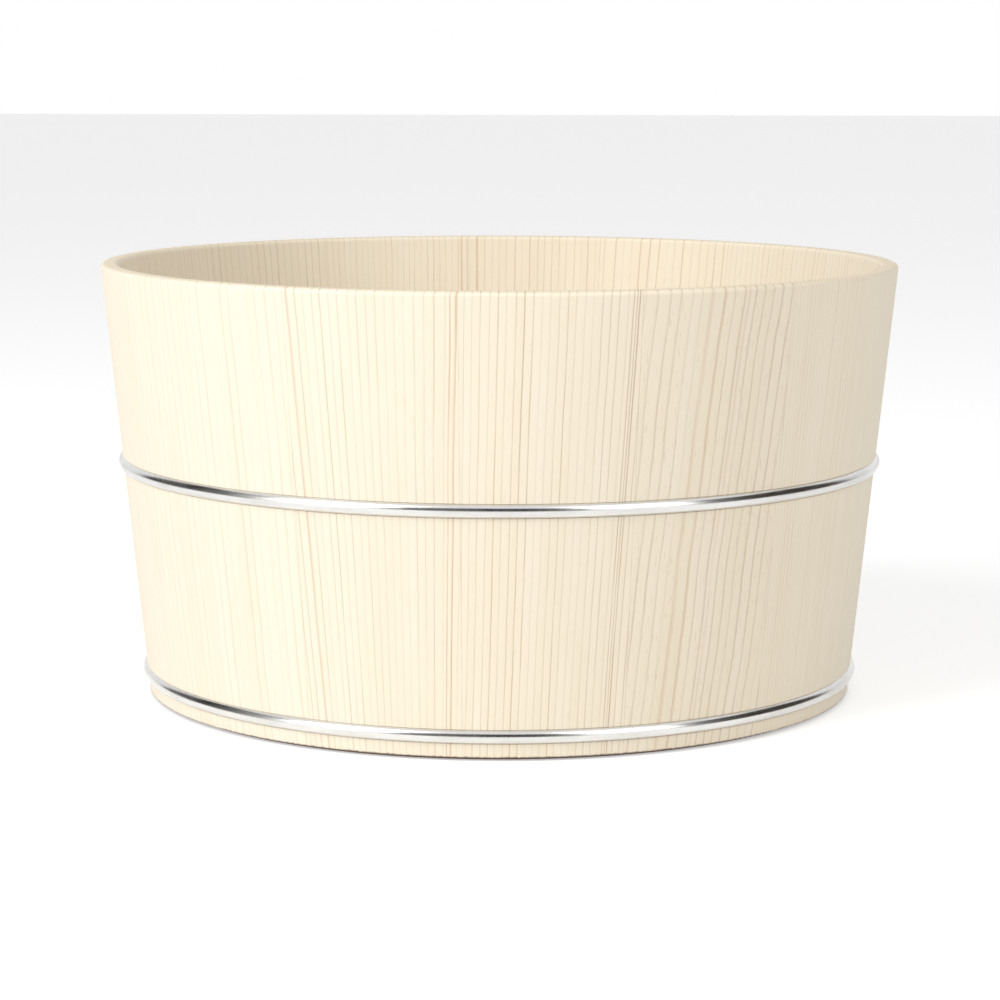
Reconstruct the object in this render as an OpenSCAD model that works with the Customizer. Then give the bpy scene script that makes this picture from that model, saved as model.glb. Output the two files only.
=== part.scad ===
// Coopered wooden bucket: tapered staves held by two wire hoops round a bevelled board bottom.
// The bucket stands on its foot at z = 0, its axis is +Z and its front looks along -Y.

/* [Bucket] */
// Outer diameter at the rim
rim_diameter = 225; // [208:1:260]
// Outer diameter at the foot
foot_diameter = 200.6; // [180:0.2:216]
// Height from foot to rim
bucket_height = 122; // [105:1:150]

/* [Staves] */
// Number of staves round the wall
stave_count = 15; // [12:1:20]
// Turn of the first joint from the front of the bucket, in degrees
first_joint_turn = -5.3; // [-12:0.1:12]
// Level thickness of the wall at the rim
wall_at_rim = 4.8; // [4.4:0.1:8]
// Level thickness of the wall at the foot
wall_at_foot = 8; // [7:0.1:11]
// Radius of the rim's outer edge
rim_outer_round = 1.2; // [0.6:0.1:1.6]
// Radius of the rim's inner edge
rim_inner_round = 1.2; // [0.6:0.1:1.6]
// Width of the undercut bevel round the foot
foot_bevel_width = 2.4; // [1:0.1:3]
// Height of the undercut bevel round the foot
foot_bevel_height = 1; // [0.5:0.1:1.5]
// Width and height of the small bevel on the inner edge of the foot
foot_inner_bevel = 0.8; // [0.4:0.1:1.5]

/* [Hoops] */
// Diameter of the hoop wire
hoop_wire = 4; // [3:0.1:5]
// How far the wire stands out of the wall
hoop_proud = 1.3; // [0.8:0.1:1.8]
// Height of the upper hoop's centre line above the foot
upper_hoop_height = 66.2; // [52:0.1:80]
// Height of the lower hoop's centre line above the foot
lower_hoop_height = 6.6; // [5:0.1:10]
// Clearance between the wire and its groove
hoop_clearance = 0.05; // [0.02:0.01:0.2]

/* [Bottom] */
// Thickness of the bottom boards
bottom_thickness = 10; // [8:0.5:13]
// Height of the boards' underside above the foot
bottom_recess = 9.5; // [7:0.5:16]
// Width of the middle board
middle_board_width = 62; // [50:1:80]
// How deep the groove for the bottom is cut into the wall
croze_depth = 3; // [2:0.1:4]
// Thickness left at the bottom's bevelled edge
bottom_edge_thickness = 5.5; // [4:0.5:7]
// How far the bevel under the bottom runs in from its edge
bottom_bevel_run = 12; // [8:0.5:24]
// Clearance between the bottom's edge and its groove
croze_clearance = 0.1; // [0.05:0.05:0.3]

/* [Pins] */
// Diameter of the bamboo pins
pin_diameter = 2.6; // [2:0.1:3]
// Length of a pin from point to point
pin_length = 18; // [14:0.5:22]
// Length of the pointed end of a pin
pin_point_length = 2.5; // [1:0.5:4]
// Diameter of the flat at the very end of a pin
pin_tip_diameter = 1; // [0.5:0.1:1.6]
// Clearance round a pin in its hole
pin_clearance = 0.05; // [0.02:0.01:0.1]
// Room left past each end of a pin
pin_end_room = 0.5; // [0.2:0.1:1]
// Height of the lower ring of pins above the foot
lower_pin_height = 36; // [33:0.5:44]
// Depth of the upper ring of pins below the rim
upper_pin_drop = 27; // [12:0.5:28]
// Distance between the two pins in a joint of the bottom
bottom_pin_spacing = 76; // [50:1:110]

/* [Hidden] */
$fn = 96;
front_azimuth = -90;
// Small extra length that carries a cut clear of the face it starts from
cut_margin = 2;

// Wall: both faces are cones, so their radius is a straight line over the height
outer_foot_radius = foot_diameter / 2;
outer_rim_radius = rim_diameter / 2;
inner_foot_radius = outer_foot_radius - wall_at_foot;
inner_rim_radius = outer_rim_radius - wall_at_rim;
outer_slope = atan((outer_rim_radius - outer_foot_radius) / bucket_height);
inner_slope = atan((inner_rim_radius - inner_foot_radius) / bucket_height);
function outer_radius(z) = outer_foot_radius + z * tan(outer_slope);
function inner_radius(z) = inner_foot_radius + z * tan(inner_slope);
function wall_middle(z) = (outer_radius(z) + inner_radius(z)) / 2;

// Centres of the rim's two edge arcs, each touching the top and its own face of the wall
outer_arc_z = bucket_height - rim_outer_round;
outer_arc_r = outer_radius(outer_arc_z) - rim_outer_round / cos(outer_slope);
inner_arc_z = bucket_height - rim_inner_round;
inner_arc_r = inner_radius(inner_arc_z) + rim_inner_round / cos(inner_slope);

// Joints between staves
stave_angle = 360 / stave_count;
function joint_azimuth(i) = front_azimuth + first_joint_turn + i * stave_angle;

// Hoops follow the wall's outer face at their own height
hoop_radius = hoop_wire / 2;
function hoop_ring_radius(z) = outer_radius(z) + hoop_proud - hoop_radius;

// Bottom: a disc whose bevelled edge sits in the groove round the wall
bottom_top = bottom_recess + bottom_thickness;
croze_floor_radius = inner_radius(bottom_top) + croze_depth;
bottom_radius = croze_floor_radius - croze_clearance;
bottom_edge_low = bottom_top - bottom_edge_thickness;
bevel_slope = atan((bottom_edge_low - bottom_recess) / bottom_bevel_run);
croze_floor_low = bottom_edge_low + croze_clearance * (tan(bevel_slope) - 1 / cos(bevel_slope));
croze_reach = croze_depth + cut_margin;

// Pins
upper_pin_height = bucket_height - upper_pin_drop;
pin_heights = [lower_pin_height, upper_pin_height];
bottom_pin_height = bottom_recess + bottom_thickness / 2;

stave_names = [for (i = [1 : stave_count]) str("stave_", i < 10 ? "0" : "", i)];
board_names = ["bottom_board_left", "bottom_board_middle", "bottom_board_right"];

// Colours of the wood, the bamboo and the hoop wire
stave_colours = [[0.95, 0.89, 0.78], [0.93, 0.85, 0.72], [0.96, 0.91, 0.81]];
board_colours = [[0.94, 0.87, 0.74], [0.92, 0.84, 0.71], [0.95, 0.88, 0.76]];
bamboo_colour = [0.80, 0.70, 0.48];
steel_colour = [0.72, 0.72, 0.70];

// Section of the wall before any groove is cut, with its bevelled foot and rounded rim
module wall_section() {
    polygon([
        [inner_radius(foot_inner_bevel), foot_inner_bevel],
        [inner_foot_radius + foot_inner_bevel, 0],
        [outer_foot_radius - foot_bevel_width, 0],
        [outer_radius(foot_bevel_height), foot_bevel_height],
        [
            outer_arc_r + rim_outer_round * cos(outer_slope),
            outer_arc_z - rim_outer_round * sin(outer_slope)
        ],
        [outer_arc_r, bucket_height],
        [inner_arc_r, bucket_height],
        [
            inner_arc_r - rim_inner_round * cos(inner_slope),
            inner_arc_z + rim_inner_round * sin(inner_slope)
        ]
    ]);
    translate([outer_arc_r, outer_arc_z])
        circle(r = rim_outer_round);
    translate([inner_arc_r, inner_arc_z])
        circle(r = rim_inner_round);
}

// Section of the round groove that holds a hoop at height z
module hoop_groove_section(z) {
    translate([hoop_ring_radius(z), z])
        circle(r = hoop_radius + hoop_clearance);
}

// Section of the croze, the groove that holds the edge of the bottom
module croze_section() {
    polygon([
        [croze_floor_radius, croze_floor_low],
        [croze_floor_radius, bottom_top + croze_clearance],
        [croze_floor_radius - croze_reach, bottom_top + croze_clearance],
        [croze_floor_radius - croze_reach, croze_floor_low - croze_reach * tan(bevel_slope)]
    ]);
}

// Section of one stave, which is the same all round the bucket
module stave_section() {
    difference() {
        wall_section();
        hoop_groove_section(lower_hoop_height);
        hoop_groove_section(upper_hoop_height);
        croze_section();
    }
}

// A pin pointed at both ends, lying along X with its middle at the origin
module pin() {
    body_length = pin_length - 2 * pin_point_length;
    rotate([0, 90, 0])
        cylinder(d = pin_diameter, h = body_length, center = true);
    for (side = [0, 1])
        mirror([side, 0, 0])
            translate([body_length / 2, 0, 0])
                rotate([0, 90, 0])
                    cylinder(d1 = pin_diameter, d2 = pin_tip_diameter, h = pin_point_length);
}

// The hole for such a pin, half of it in each of the two pieces that the pin joins
module pin_hole() {
    rotate([0, 90, 0])
        cylinder(
            r = pin_diameter / 2 + pin_clearance,
            h = pin_length + 2 * pin_end_room,
            center = true
        );
}

// Puts what follows across stave joint i, in the middle of the wall at height z
module across_stave_joint(i, z) {
    rotate([0, 0, joint_azimuth(i)])
        translate([wall_middle(z), 0, z])
            rotate([0, 0, 90])
                children();
}

// Puts what follows across both joints of the bottom, at its two pin places
module across_bottom_joints() {
    for (x = [-middle_board_width / 2, middle_board_width / 2])
        for (y = [-bottom_pin_spacing / 2, bottom_pin_spacing / 2])
            translate([x, y, bottom_pin_height])
                children();
}

// Stave i: a wedge of the wall between two radial faces, with half a pin hole at each joint
module stave(i) {
    color(stave_colours[i % len(stave_colours)])
        difference() {
            rotate_extrude(angle = stave_angle, start = joint_azimuth(i))
                stave_section();
            for (edge = [i, i + 1])
                for (z = pin_heights)
                    across_stave_joint(edge, z)
                        pin_hole();
        }
}

// One ring of pins, one across every joint between staves
module stave_pins(z) {
    color(bamboo_colour)
        for (i = [0 : stave_count - 1])
            across_stave_joint(i, z)
                pin();
}

// A hoop of round wire, sunk in the wall at height z
module hoop(z) {
    color(steel_colour)
        rotate_extrude()
            translate([hoop_ring_radius(z), z])
                circle(r = hoop_radius);
}

// The whole round bottom, with its bevelled edge, before it is parted into boards
module bottom_disc() {
    rotate_extrude()
        polygon([
            [0, bottom_recess],
            [bottom_radius - bottom_bevel_run, bottom_recess],
            [bottom_radius, bottom_edge_low],
            [bottom_radius, bottom_top],
            [0, bottom_top]
        ]);
}

// Board i of the bottom, from left to right, with half a pin hole at each pin place
module bottom_board(i) {
    half_middle = middle_board_width / 2;
    reach = bottom_radius + cut_margin;
    sides = [[-reach, -half_middle], [-half_middle, half_middle], [half_middle, reach]];
    color(board_colours[i])
        difference() {
            intersection() {
                bottom_disc();
                translate([sides[i][0], -reach, 0])
                    cube([sides[i][1] - sides[i][0], 2 * reach, bottom_top + cut_margin]);
            }
            across_bottom_joints()
                pin_hole();
        }
}

// The pins that join the boards of the bottom
module bottom_pins() {
    color(bamboo_colour)
        across_bottom_joints()
            pin();
}

for (i = [0 : stave_count - 1])
    stave(i);
for (i = [0 : len(board_names) - 1])
    bottom_board(i);
hoop(upper_hoop_height);  // upper_hoop
hoop(lower_hoop_height);  // lower_hoop
stave_pins(lower_pin_height);  // lower_stave_pins
stave_pins(upper_pin_height);  // upper_stave_pins
bottom_pins();
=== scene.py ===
"""Looks, studio and camera for a low coopered bucket of pale softwood with two wire hoops.

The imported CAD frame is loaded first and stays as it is. Every stave, bottom board and pin keeps its
CAD mesh and gets its own procedural finish. The two hoops are modelled again here as drawn wire with
a dressed weld. Lengths inside the materials are millimetres; lengths of objects are metres.
"""
from __future__ import annotations

import logging
import math
import random
from abc import ABC, abstractmethod
from dataclasses import dataclass, field
from enum import Enum
from typing import ClassVar

import bmesh
import bpy
from mathutils import Euler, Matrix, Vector


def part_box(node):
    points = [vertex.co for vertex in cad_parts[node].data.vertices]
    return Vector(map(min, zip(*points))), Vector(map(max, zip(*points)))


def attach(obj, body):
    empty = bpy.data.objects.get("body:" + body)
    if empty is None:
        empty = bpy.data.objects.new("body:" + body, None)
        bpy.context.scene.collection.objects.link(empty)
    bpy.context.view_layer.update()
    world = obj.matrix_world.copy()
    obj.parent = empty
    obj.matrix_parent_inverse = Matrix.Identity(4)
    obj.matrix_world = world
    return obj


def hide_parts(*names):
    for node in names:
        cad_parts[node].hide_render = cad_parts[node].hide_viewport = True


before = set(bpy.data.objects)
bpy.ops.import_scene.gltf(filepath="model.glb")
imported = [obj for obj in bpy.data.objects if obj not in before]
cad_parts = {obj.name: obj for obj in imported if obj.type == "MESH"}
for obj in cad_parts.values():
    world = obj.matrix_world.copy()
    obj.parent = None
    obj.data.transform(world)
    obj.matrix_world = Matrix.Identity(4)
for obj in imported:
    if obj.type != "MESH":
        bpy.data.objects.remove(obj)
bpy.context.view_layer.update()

LOG = logging.getLogger("bucket")
MM = 0.001
PER_METRE = 1000.0

Colour = tuple[float, float, float]
Feed = float | tuple | bpy.types.NodeSocket

DARK_RESIN: Colour = (0.35, 0.22, 0.12)


class Slot(Enum):
    """The record's material slots."""

    STAVE_WOOD = "stave_wood"
    BOARD_WOOD = "board_wood"
    HOOP_STEEL = "hoop_steel"
    PIN_BAMBOO = "pin_bamboo"


class Op(Enum):
    """The sums that the node groups use."""

    ADD = "ADD"
    SUBTRACT = "SUBTRACT"
    MULTIPLY = "MULTIPLY"
    DIVIDE = "DIVIDE"
    MULTIPLY_ADD = "MULTIPLY_ADD"
    MAXIMUM = "MAXIMUM"
    POWER = "POWER"
    ABSOLUTE = "ABSOLUTE"
    FLOOR = "FLOOR"
    SQUARE_ROOT = "SQRT"
    ANGLE = "ARCTAN2"


class Port(Enum):
    """The kinds of socket that a node group shows."""

    VALUE = "NodeSocketFloat"
    VECTOR = "NodeSocketVector"


class Lie(Enum):
    """Which way a pin lies in the bucket."""

    ROUND_THE_WALL = "round the wall"
    ACROSS_THE_BOTTOM = "across the bottom"


@dataclass(frozen=True)
class WallSizes:
    """The wall's driving sizes, in millimetres and degrees, as the CAD frame has them."""

    rim_radius: float = 112.5
    foot_radius: float = 100.3
    height: float = 122.0
    stave_count: int = 15
    front_azimuth: float = -90.0
    first_joint_turn: float = -5.3

    @property
    def slope(self) -> float:
        """How far the outer face leans out for each millimetre of height."""
        return (self.rim_radius - self.foot_radius) / self.height

    @property
    def half_stave(self) -> float:
        """Half the angle that one stave takes up, in radians."""
        return math.pi / self.stave_count

    def stave_azimuth(self, index: int) -> float:
        """Gives the direction in which the middle of a stave looks.

        Args:
            index: The stave's place round the wall, counted from 0.

        Returns:
            The azimuth in radians, counter-clockwise from +X.
        """
        turn = self.first_joint_turn + (index + 0.5) * 360.0 / self.stave_count
        return math.radians(self.front_azimuth + turn)


WALL = WallSizes()


class Wiring:
    """Adds nodes to one node tree, each fed with plain values or with sockets of other nodes."""

    def __init__(self, tree: bpy.types.NodeTree) -> None:
        """Keeps the tree that the nodes go into."""
        self.tree = tree

    def add(self, kind: str, **settings: object) -> bpy.types.Node:
        """Adds one node.

        Args:
            kind: The node's type name.
            settings: Properties of the node and their values.

        Returns:
            The new node.
        """
        node = self.tree.nodes.new(kind)
        for name, value in settings.items():
            setattr(node, name, value)
        return node

    def feed(self, socket: bpy.types.NodeSocket, value: Feed) -> None:
        """Links a socket to an input, or sets the input to a constant.

        Args:
            socket: The input to fill.
            value: A socket of another node, a number, or a colour or vector.
        """
        if isinstance(value, bpy.types.NodeSocket):
            self.tree.links.new(value, socket)
        elif isinstance(value, tuple) and socket.type == "RGBA":
            socket.default_value = (*value, 1.0)
        else:
            socket.default_value = value

    def math(self, operation: Op, *values: Feed) -> bpy.types.NodeSocket:
        """Adds a sum.

        Args:
            operation: What is worked out.
            values: The numbers or sockets that it takes.

        Returns:
            The result's socket.
        """
        node = self.add("ShaderNodeMath", operation=operation.value)
        for socket, value in zip(node.inputs, values):
            self.feed(socket, value)
        return node.outputs[0]

    def step(self, value: Feed, low: Feed, high: Feed, start: Feed = 0.0,
             end: Feed = 1.0) -> bpy.types.NodeSocket:
        """Runs smoothly from one value to another while the input crosses a range.

        Args:
            value: The input.
            low: Where the change starts.
            high: Where it ends.
            start: The result below the range.
            end: The result above the range.

        Returns:
            The result's socket.
        """
        node = self.add("ShaderNodeMapRange", interpolation_type="SMOOTHSTEP")
        names = ("Value", "From Min", "From Max", "To Min", "To Max")
        for name, given in zip(names, (value, low, high, start, end)):
            self.feed(node.inputs[name], given)
        return node.outputs["Result"]

    def vector(self, x: Feed, y: Feed, z: Feed) -> bpy.types.NodeSocket:
        """Puts three numbers together as one vector.

        Args:
            x: The first number.
            y: The second number.
            z: The third number.

        Returns:
            The vector's socket.
        """
        node = self.add("ShaderNodeCombineXYZ")
        for socket, value in zip(node.inputs, (x, y, z)):
            self.feed(socket, value)
        return node.outputs[0]

    def parts(self, vector: bpy.types.NodeSocket) -> tuple[bpy.types.NodeSocket, ...]:
        """Takes a vector apart.

        Args:
            vector: The vector's socket.

        Returns:
            The sockets of its three numbers.
        """
        node = self.add("ShaderNodeSeparateXYZ")
        self.feed(node.inputs[0], vector)
        return tuple(node.outputs)

    def stretched(self, vector: bpy.types.NodeSocket, sizes: tuple[float, float, float],
                  seed: Feed = 0.0) -> bpy.types.NodeSocket:
        """Divides a place by the size of the marks wanted along each axis.

        Args:
            vector: The place, in millimetres.
            sizes: The marks' size along each axis, in millimetres.
            seed: A number that moves the pattern elsewhere.

        Returns:
            The socket of the stretched place.
        """
        node = self.add("ShaderNodeVectorMath", operation="MULTIPLY_ADD")
        self.feed(node.inputs[0], vector)
        node.inputs[1].default_value = tuple(1.0 / size for size in sizes)
        self.feed(node.inputs[2], self.vector(seed, seed, seed))
        return node.outputs[0]

    def noise(self, vector: bpy.types.NodeSocket, detail: float = 1.0,
              roughness: float = 0.5) -> bpy.types.NodeSocket:
        """Adds cloudy noise with marks about one unit wide.

        Args:
            vector: The place in the noise.
            detail: How many finer layers lie over the first one.
            roughness: How strong the finer layers are.

        Returns:
            The socket of the noise, from 0 to 1 with most of it near 0.5.
        """
        node = self.add("ShaderNodeTexNoise")
        self.feed(node.inputs["Vector"], vector)
        node.inputs["Scale"].default_value = 1.0
        node.inputs["Detail"].default_value = detail
        node.inputs["Roughness"].default_value = roughness
        return node.outputs["Fac"]

    def random(self, value: Feed, seed: Feed) -> bpy.types.NodeSocket:
        """Gives each whole number its own random value.

        Args:
            value: The whole number.
            seed: A number that picks another set of values.

        Returns:
            The socket of the random value, from 0 to 1.
        """
        node = self.add("ShaderNodeTexWhiteNoise", noise_dimensions="2D")
        self.feed(node.inputs["Vector"], self.vector(value, seed, 0.0))
        return node.outputs["Value"]

    def mix(self, share: Feed, first: Feed, second: Feed) -> bpy.types.NodeSocket:
        """Lays one colour over another.

        Args:
            share: How much of the second colour shows.
            first: The colour underneath.
            second: The colour on top.

        Returns:
            The socket of the mixed colour.
        """
        node = self.add("ShaderNodeMix", data_type="RGBA")
        sockets = [socket for socket in node.inputs if socket.enabled]
        for socket, value in zip(sockets, (share, first, second)):
            self.feed(socket, value)
        return next(socket for socket in node.outputs if socket.enabled)

    def weighted(self, *pairs: tuple[bpy.types.NodeSocket, float],
                 start: float = 0.0) -> bpy.types.NodeSocket:
        """Adds up values, each times its own weight.

        Args:
            pairs: The values and their weights.
            start: The number that they are added to.

        Returns:
            The socket of the sum.
        """
        total: Feed = start
        for value, weight in pairs:
            total = self.math(Op.MULTIPLY_ADD, value, weight, total)
        return total


class Effect(ABC):
    """A shader node group, built once and placed in every material that uses it."""

    title: ClassVar[str]
    takes: ClassVar[dict[str, Port]]
    gives: ClassVar[dict[str, Port]]

    @classmethod
    @abstractmethod
    def wire(cls, wiring: Wiring, given: bpy.types.NodeOutputs) -> dict[str, Feed]:
        """Wires the inside of the group.

        Args:
            wiring: The wiring of the group's tree.
            given: The sockets of the group's inputs.

        Returns:
            For each output's name, the socket that feeds it.
        """

    @classmethod
    def tree(cls) -> bpy.types.NodeTree:
        """Builds the group's node tree at the first call.

        Returns:
            The tree.
        """
        known = bpy.data.node_groups.get(cls.title)
        if known is not None:
            return known
        tree = bpy.data.node_groups.new(cls.title, "ShaderNodeTree")
        for name, port in cls.takes.items():
            tree.interface.new_socket(name=name, in_out="INPUT", socket_type=port.value)
        for name, port in cls.gives.items():
            tree.interface.new_socket(name=name, in_out="OUTPUT", socket_type=port.value)
        wiring = Wiring(tree)
        start = wiring.add("NodeGroupInput")
        end = wiring.add("NodeGroupOutput")
        for name, socket in cls.wire(wiring, start.outputs).items():
            wiring.feed(end.inputs[name], socket)
        return tree

    @classmethod
    def place(cls, wiring: Wiring, **values: Feed) -> bpy.types.NodeOutputs:
        """Places the group in a material.

        Args:
            wiring: The wiring of the material's tree.
            values: The group's inputs, each named as its socket is, in small letters.

        Returns:
            The placed group's outputs.
        """
        node = wiring.add("ShaderNodeGroup", node_tree=cls.tree(), label=cls.title)
        for name, value in values.items():
            wiring.feed(node.inputs[name.replace("_", " ").title()], value)
        return node.outputs


def millimetres(wiring: Wiring) -> bpy.types.NodeSocket:
    """Reads the surface's place in the frame.

    Args:
        wiring: The wiring of the tree.

    Returns:
        The socket of the place, in millimetres.
    """
    place = wiring.add("ShaderNodeTexCoord").outputs["Object"]
    node = wiring.add("ShaderNodeVectorMath", operation="SCALE")
    wiring.feed(node.inputs[0], place)
    node.inputs["Scale"].default_value = PER_METRE
    return node.outputs[0]


class StaveFrame(Effect):
    """Turns a place on the wall into a place in its own stave."""

    title = "Stave frame"
    takes = {"Azimuth": Port.VALUE}
    gives = {"Local": Port.VECTOR, "Joint": Port.VALUE}

    @classmethod
    def wire(cls, wiring: Wiring, given: bpy.types.NodeOutputs) -> dict[str, Feed]:
        """Gives the place across, through and along the stave, and the distance to its joints.

        Args:
            wiring: The wiring of the group's tree.
            given: The sockets of the group's inputs.

        Returns:
            For each output's name, the socket that feeds it.
        """
        turn = wiring.add("ShaderNodeVectorRotate", rotation_type="Z_AXIS", invert=True)
        wiring.feed(turn.inputs["Vector"], millimetres(wiring))
        wiring.feed(turn.inputs["Angle"], given["Azimuth"])
        out, across, along = wiring.parts(turn.outputs[0])
        face = wiring.math(Op.MULTIPLY_ADD, along, WALL.slope, WALL.foot_radius)
        depth = wiring.math(Op.SUBTRACT, out, face)
        sideways = wiring.math(Op.MULTIPLY, wiring.math(Op.ABSOLUTE, across), math.cos(WALL.half_stave))
        joint = wiring.math(Op.SUBTRACT, wiring.math(Op.MULTIPLY, out, math.sin(WALL.half_stave)), sideways)
        return {"Local": wiring.vector(across, depth, along), "Joint": joint}


class BoardFrame(Effect):
    """Turns a place on the bottom into a place in its own board."""

    title = "Board frame"
    takes = {"Middle": Port.VALUE, "Half Width": Port.VALUE}
    gives = {"Local": Port.VECTOR, "Joint": Port.VALUE}

    @classmethod
    def wire(cls, wiring: Wiring, given: bpy.types.NodeOutputs) -> dict[str, Feed]:
        """Gives the place across, through and along the board, and the distance to its joints.

        Args:
            wiring: The wiring of the group's tree.
            given: The sockets of the group's inputs.

        Returns:
            For each output's name, the socket that feeds it.
        """
        x, y, z = wiring.parts(millimetres(wiring))
        across = wiring.math(Op.SUBTRACT, x, given["Middle"])
        joint = wiring.math(Op.SUBTRACT, given["Half Width"], wiring.math(Op.ABSOLUTE, across))
        return {"Local": wiring.vector(across, z, y), "Joint": joint}


class RadialSheets(Effect):
    """Growth-ring sheets of a quarter-sawn stave: nearly flat and nearly square to its face."""

    title = "Radial sheets"
    takes = {"Local": Port.VECTOR, "Lean": Port.VALUE, "Converge": Port.VALUE,
             "Slant": Port.VALUE, "Wave": Port.VALUE, "Seed": Port.VALUE}
    gives = {"Sheet": Port.VALUE}
    long_wave: ClassVar[tuple[float, float, float]] = (45.0, 30.0, 38.0)
    short_wave: ClassVar[tuple[float, float, float]] = (7.0, 9.0, 8.0)
    short_share: ClassVar[float] = 0.22

    @classmethod
    def wire(cls, wiring: Wiring, given: bpy.types.NodeOutputs) -> dict[str, Feed]:
        """Gives the distance across the sheets, as it is at the rim.

        Args:
            wiring: The wiring of the group's tree.
            given: The sockets of the group's inputs.

        Returns:
            For each output's name, the socket that feeds it.
        """
        across, depth, along = wiring.parts(given["Local"])
        drop = wiring.math(Op.MULTIPLY_ADD, along, -1.0 / WALL.height, 1.0)
        leaned = wiring.math(Op.SUBTRACT, across, wiring.math(Op.MULTIPLY, drop, given["Lean"]))
        narrowing = wiring.math(Op.SUBTRACT, 1.0, wiring.math(Op.MULTIPLY, drop, given["Converge"]))
        straight = wiring.math(Op.DIVIDE, leaned, narrowing)
        slanted = wiring.math(Op.MULTIPLY_ADD, depth, given["Slant"], straight)
        slow = wiring.noise(wiring.stretched(given["Local"], cls.long_wave, given["Seed"]), 1.0)
        quick = wiring.noise(wiring.stretched(given["Local"], cls.short_wave, given["Seed"]), 2.0)
        swing = wiring.weighted((slow, 2.0), (quick, 2.0 * cls.short_share), start=-1.0 - cls.short_share)
        return {"Sheet": wiring.math(Op.MULTIPLY_ADD, swing, given["Wave"], slanted)}


class ArchedSheets(Effect):
    """Growth-ring sheets of a flat-sawn board: arcs round a heart below the board."""

    title = "Arched sheets"
    takes = {"Local": Port.VECTOR, "Heart": Port.VALUE, "Rise": Port.VALUE,
             "Wave": Port.VALUE, "Seed": Port.VALUE}
    gives = {"Sheet": Port.VALUE}
    wave_size: ClassVar[tuple[float, float, float]] = (30.0, 20.0, 45.0)

    @classmethod
    def wire(cls, wiring: Wiring, given: bpy.types.NodeOutputs) -> dict[str, Feed]:
        """Gives the distance from the heart of the trunk.

        Args:
            wiring: The wiring of the group's tree.
            given: The sockets of the group's inputs.

        Returns:
            For each output's name, the socket that feeds it.
        """
        across, depth, along = wiring.parts(given["Local"])
        heart = wiring.math(Op.MULTIPLY_ADD, along, given["Rise"], given["Heart"])
        height = wiring.math(Op.ADD, depth, heart)
        squares = wiring.math(Op.MULTIPLY_ADD, across, across, wiring.math(Op.MULTIPLY, height, height))
        distance = wiring.math(Op.SQUARE_ROOT, squares)
        slow = wiring.noise(wiring.stretched(given["Local"], cls.wave_size, given["Seed"]), 2.0)
        swing = wiring.weighted((slow, 2.0), start=-1.0)
        return {"Sheet": wiring.math(Op.MULTIPLY_ADD, swing, given["Wave"], distance)}


class GrowthRings(Effect):
    """Thin dark latewood lines at the end of each year's growth."""

    title = "Growth rings"
    takes = {"Sheet": Port.VALUE, "Along": Port.VALUE, "Spacing": Port.VALUE, "Jitter": Port.VALUE,
             "Line Width": Port.VALUE, "Variety": Port.VALUE, "Seed": Port.VALUE}
    gives = {"Line": Port.VALUE, "Tone": Port.VALUE}
    jitter_years: ClassVar[float] = 2.3
    fade_length: ClassVar[float] = 26.0
    fade_turn: ClassVar[float] = 3.7
    soft_start: ClassVar[float] = 0.35
    sharp_end: ClassVar[float] = 0.22
    luck_power: ClassVar[float] = 1.6
    tone_power: ClassVar[float] = 3.0
    tone_seed: ClassVar[float] = 17.0
    ring_tone: ClassVar[float] = 0.45
    year_tone: ClassVar[float] = 0.55

    @classmethod
    def wire(cls, wiring: Wiring, given: bpy.types.NodeOutputs) -> dict[str, Feed]:
        """Gives the mask of the lines, and the wood's tone from one year to the next.

        Args:
            wiring: The wiring of the group's tree.
            given: The sockets of the group's inputs.

        Returns:
            For each output's name, the socket that feeds it.
        """
        years = wiring.math(Op.DIVIDE, given["Sheet"], given["Spacing"])
        place = wiring.vector(wiring.math(Op.DIVIDE, years, cls.jitter_years), given["Seed"], 0.0)
        shift = wiring.weighted((wiring.noise(place, 1.0), 2.0), start=-1.0)
        year = wiring.math(Op.MULTIPLY_ADD, shift, given["Jitter"], years)
        whole = wiring.math(Op.FLOOR, year)
        share = wiring.math(Op.SUBTRACT, year, whole)
        left = wiring.math(Op.SUBTRACT, 1.0, share)
        width = given["Line Width"]
        soft_side = wiring.step(left, wiring.math(Op.MULTIPLY, width, cls.soft_start), width, 1.0, 0.0)
        sharp_side = wiring.step(left, 0.0, wiring.math(Op.MULTIPLY, width, cls.sharp_end))
        luck = wiring.random(whole, given["Seed"])
        plain = wiring.math(Op.SUBTRACT, 1.0, given["Variety"])
        uneven = wiring.math(Op.POWER, luck, cls.luck_power)
        strength = wiring.math(Op.MULTIPLY_ADD, uneven, given["Variety"], plain)
        spot = wiring.vector(wiring.math(Op.DIVIDE, given["Along"], cls.fade_length),
                             wiring.math(Op.MULTIPLY, whole, cls.fade_turn), given["Seed"])
        fade = wiring.step(wiring.noise(spot, 2.0), 0.3, 0.62, 0.5, 1.0)
        peak = wiring.math(Op.MULTIPLY, soft_side, sharp_side)
        line = wiring.math(Op.MULTIPLY, wiring.math(Op.MULTIPLY, peak, fade), strength)
        other = wiring.random(whole, wiring.math(Op.ADD, given["Seed"], cls.tone_seed))
        late = wiring.math(Op.POWER, share, cls.tone_power)
        tone = wiring.weighted((late, cls.ring_tone), (other, cls.year_tone))
        return {"Line": line, "Tone": tone}


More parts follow.
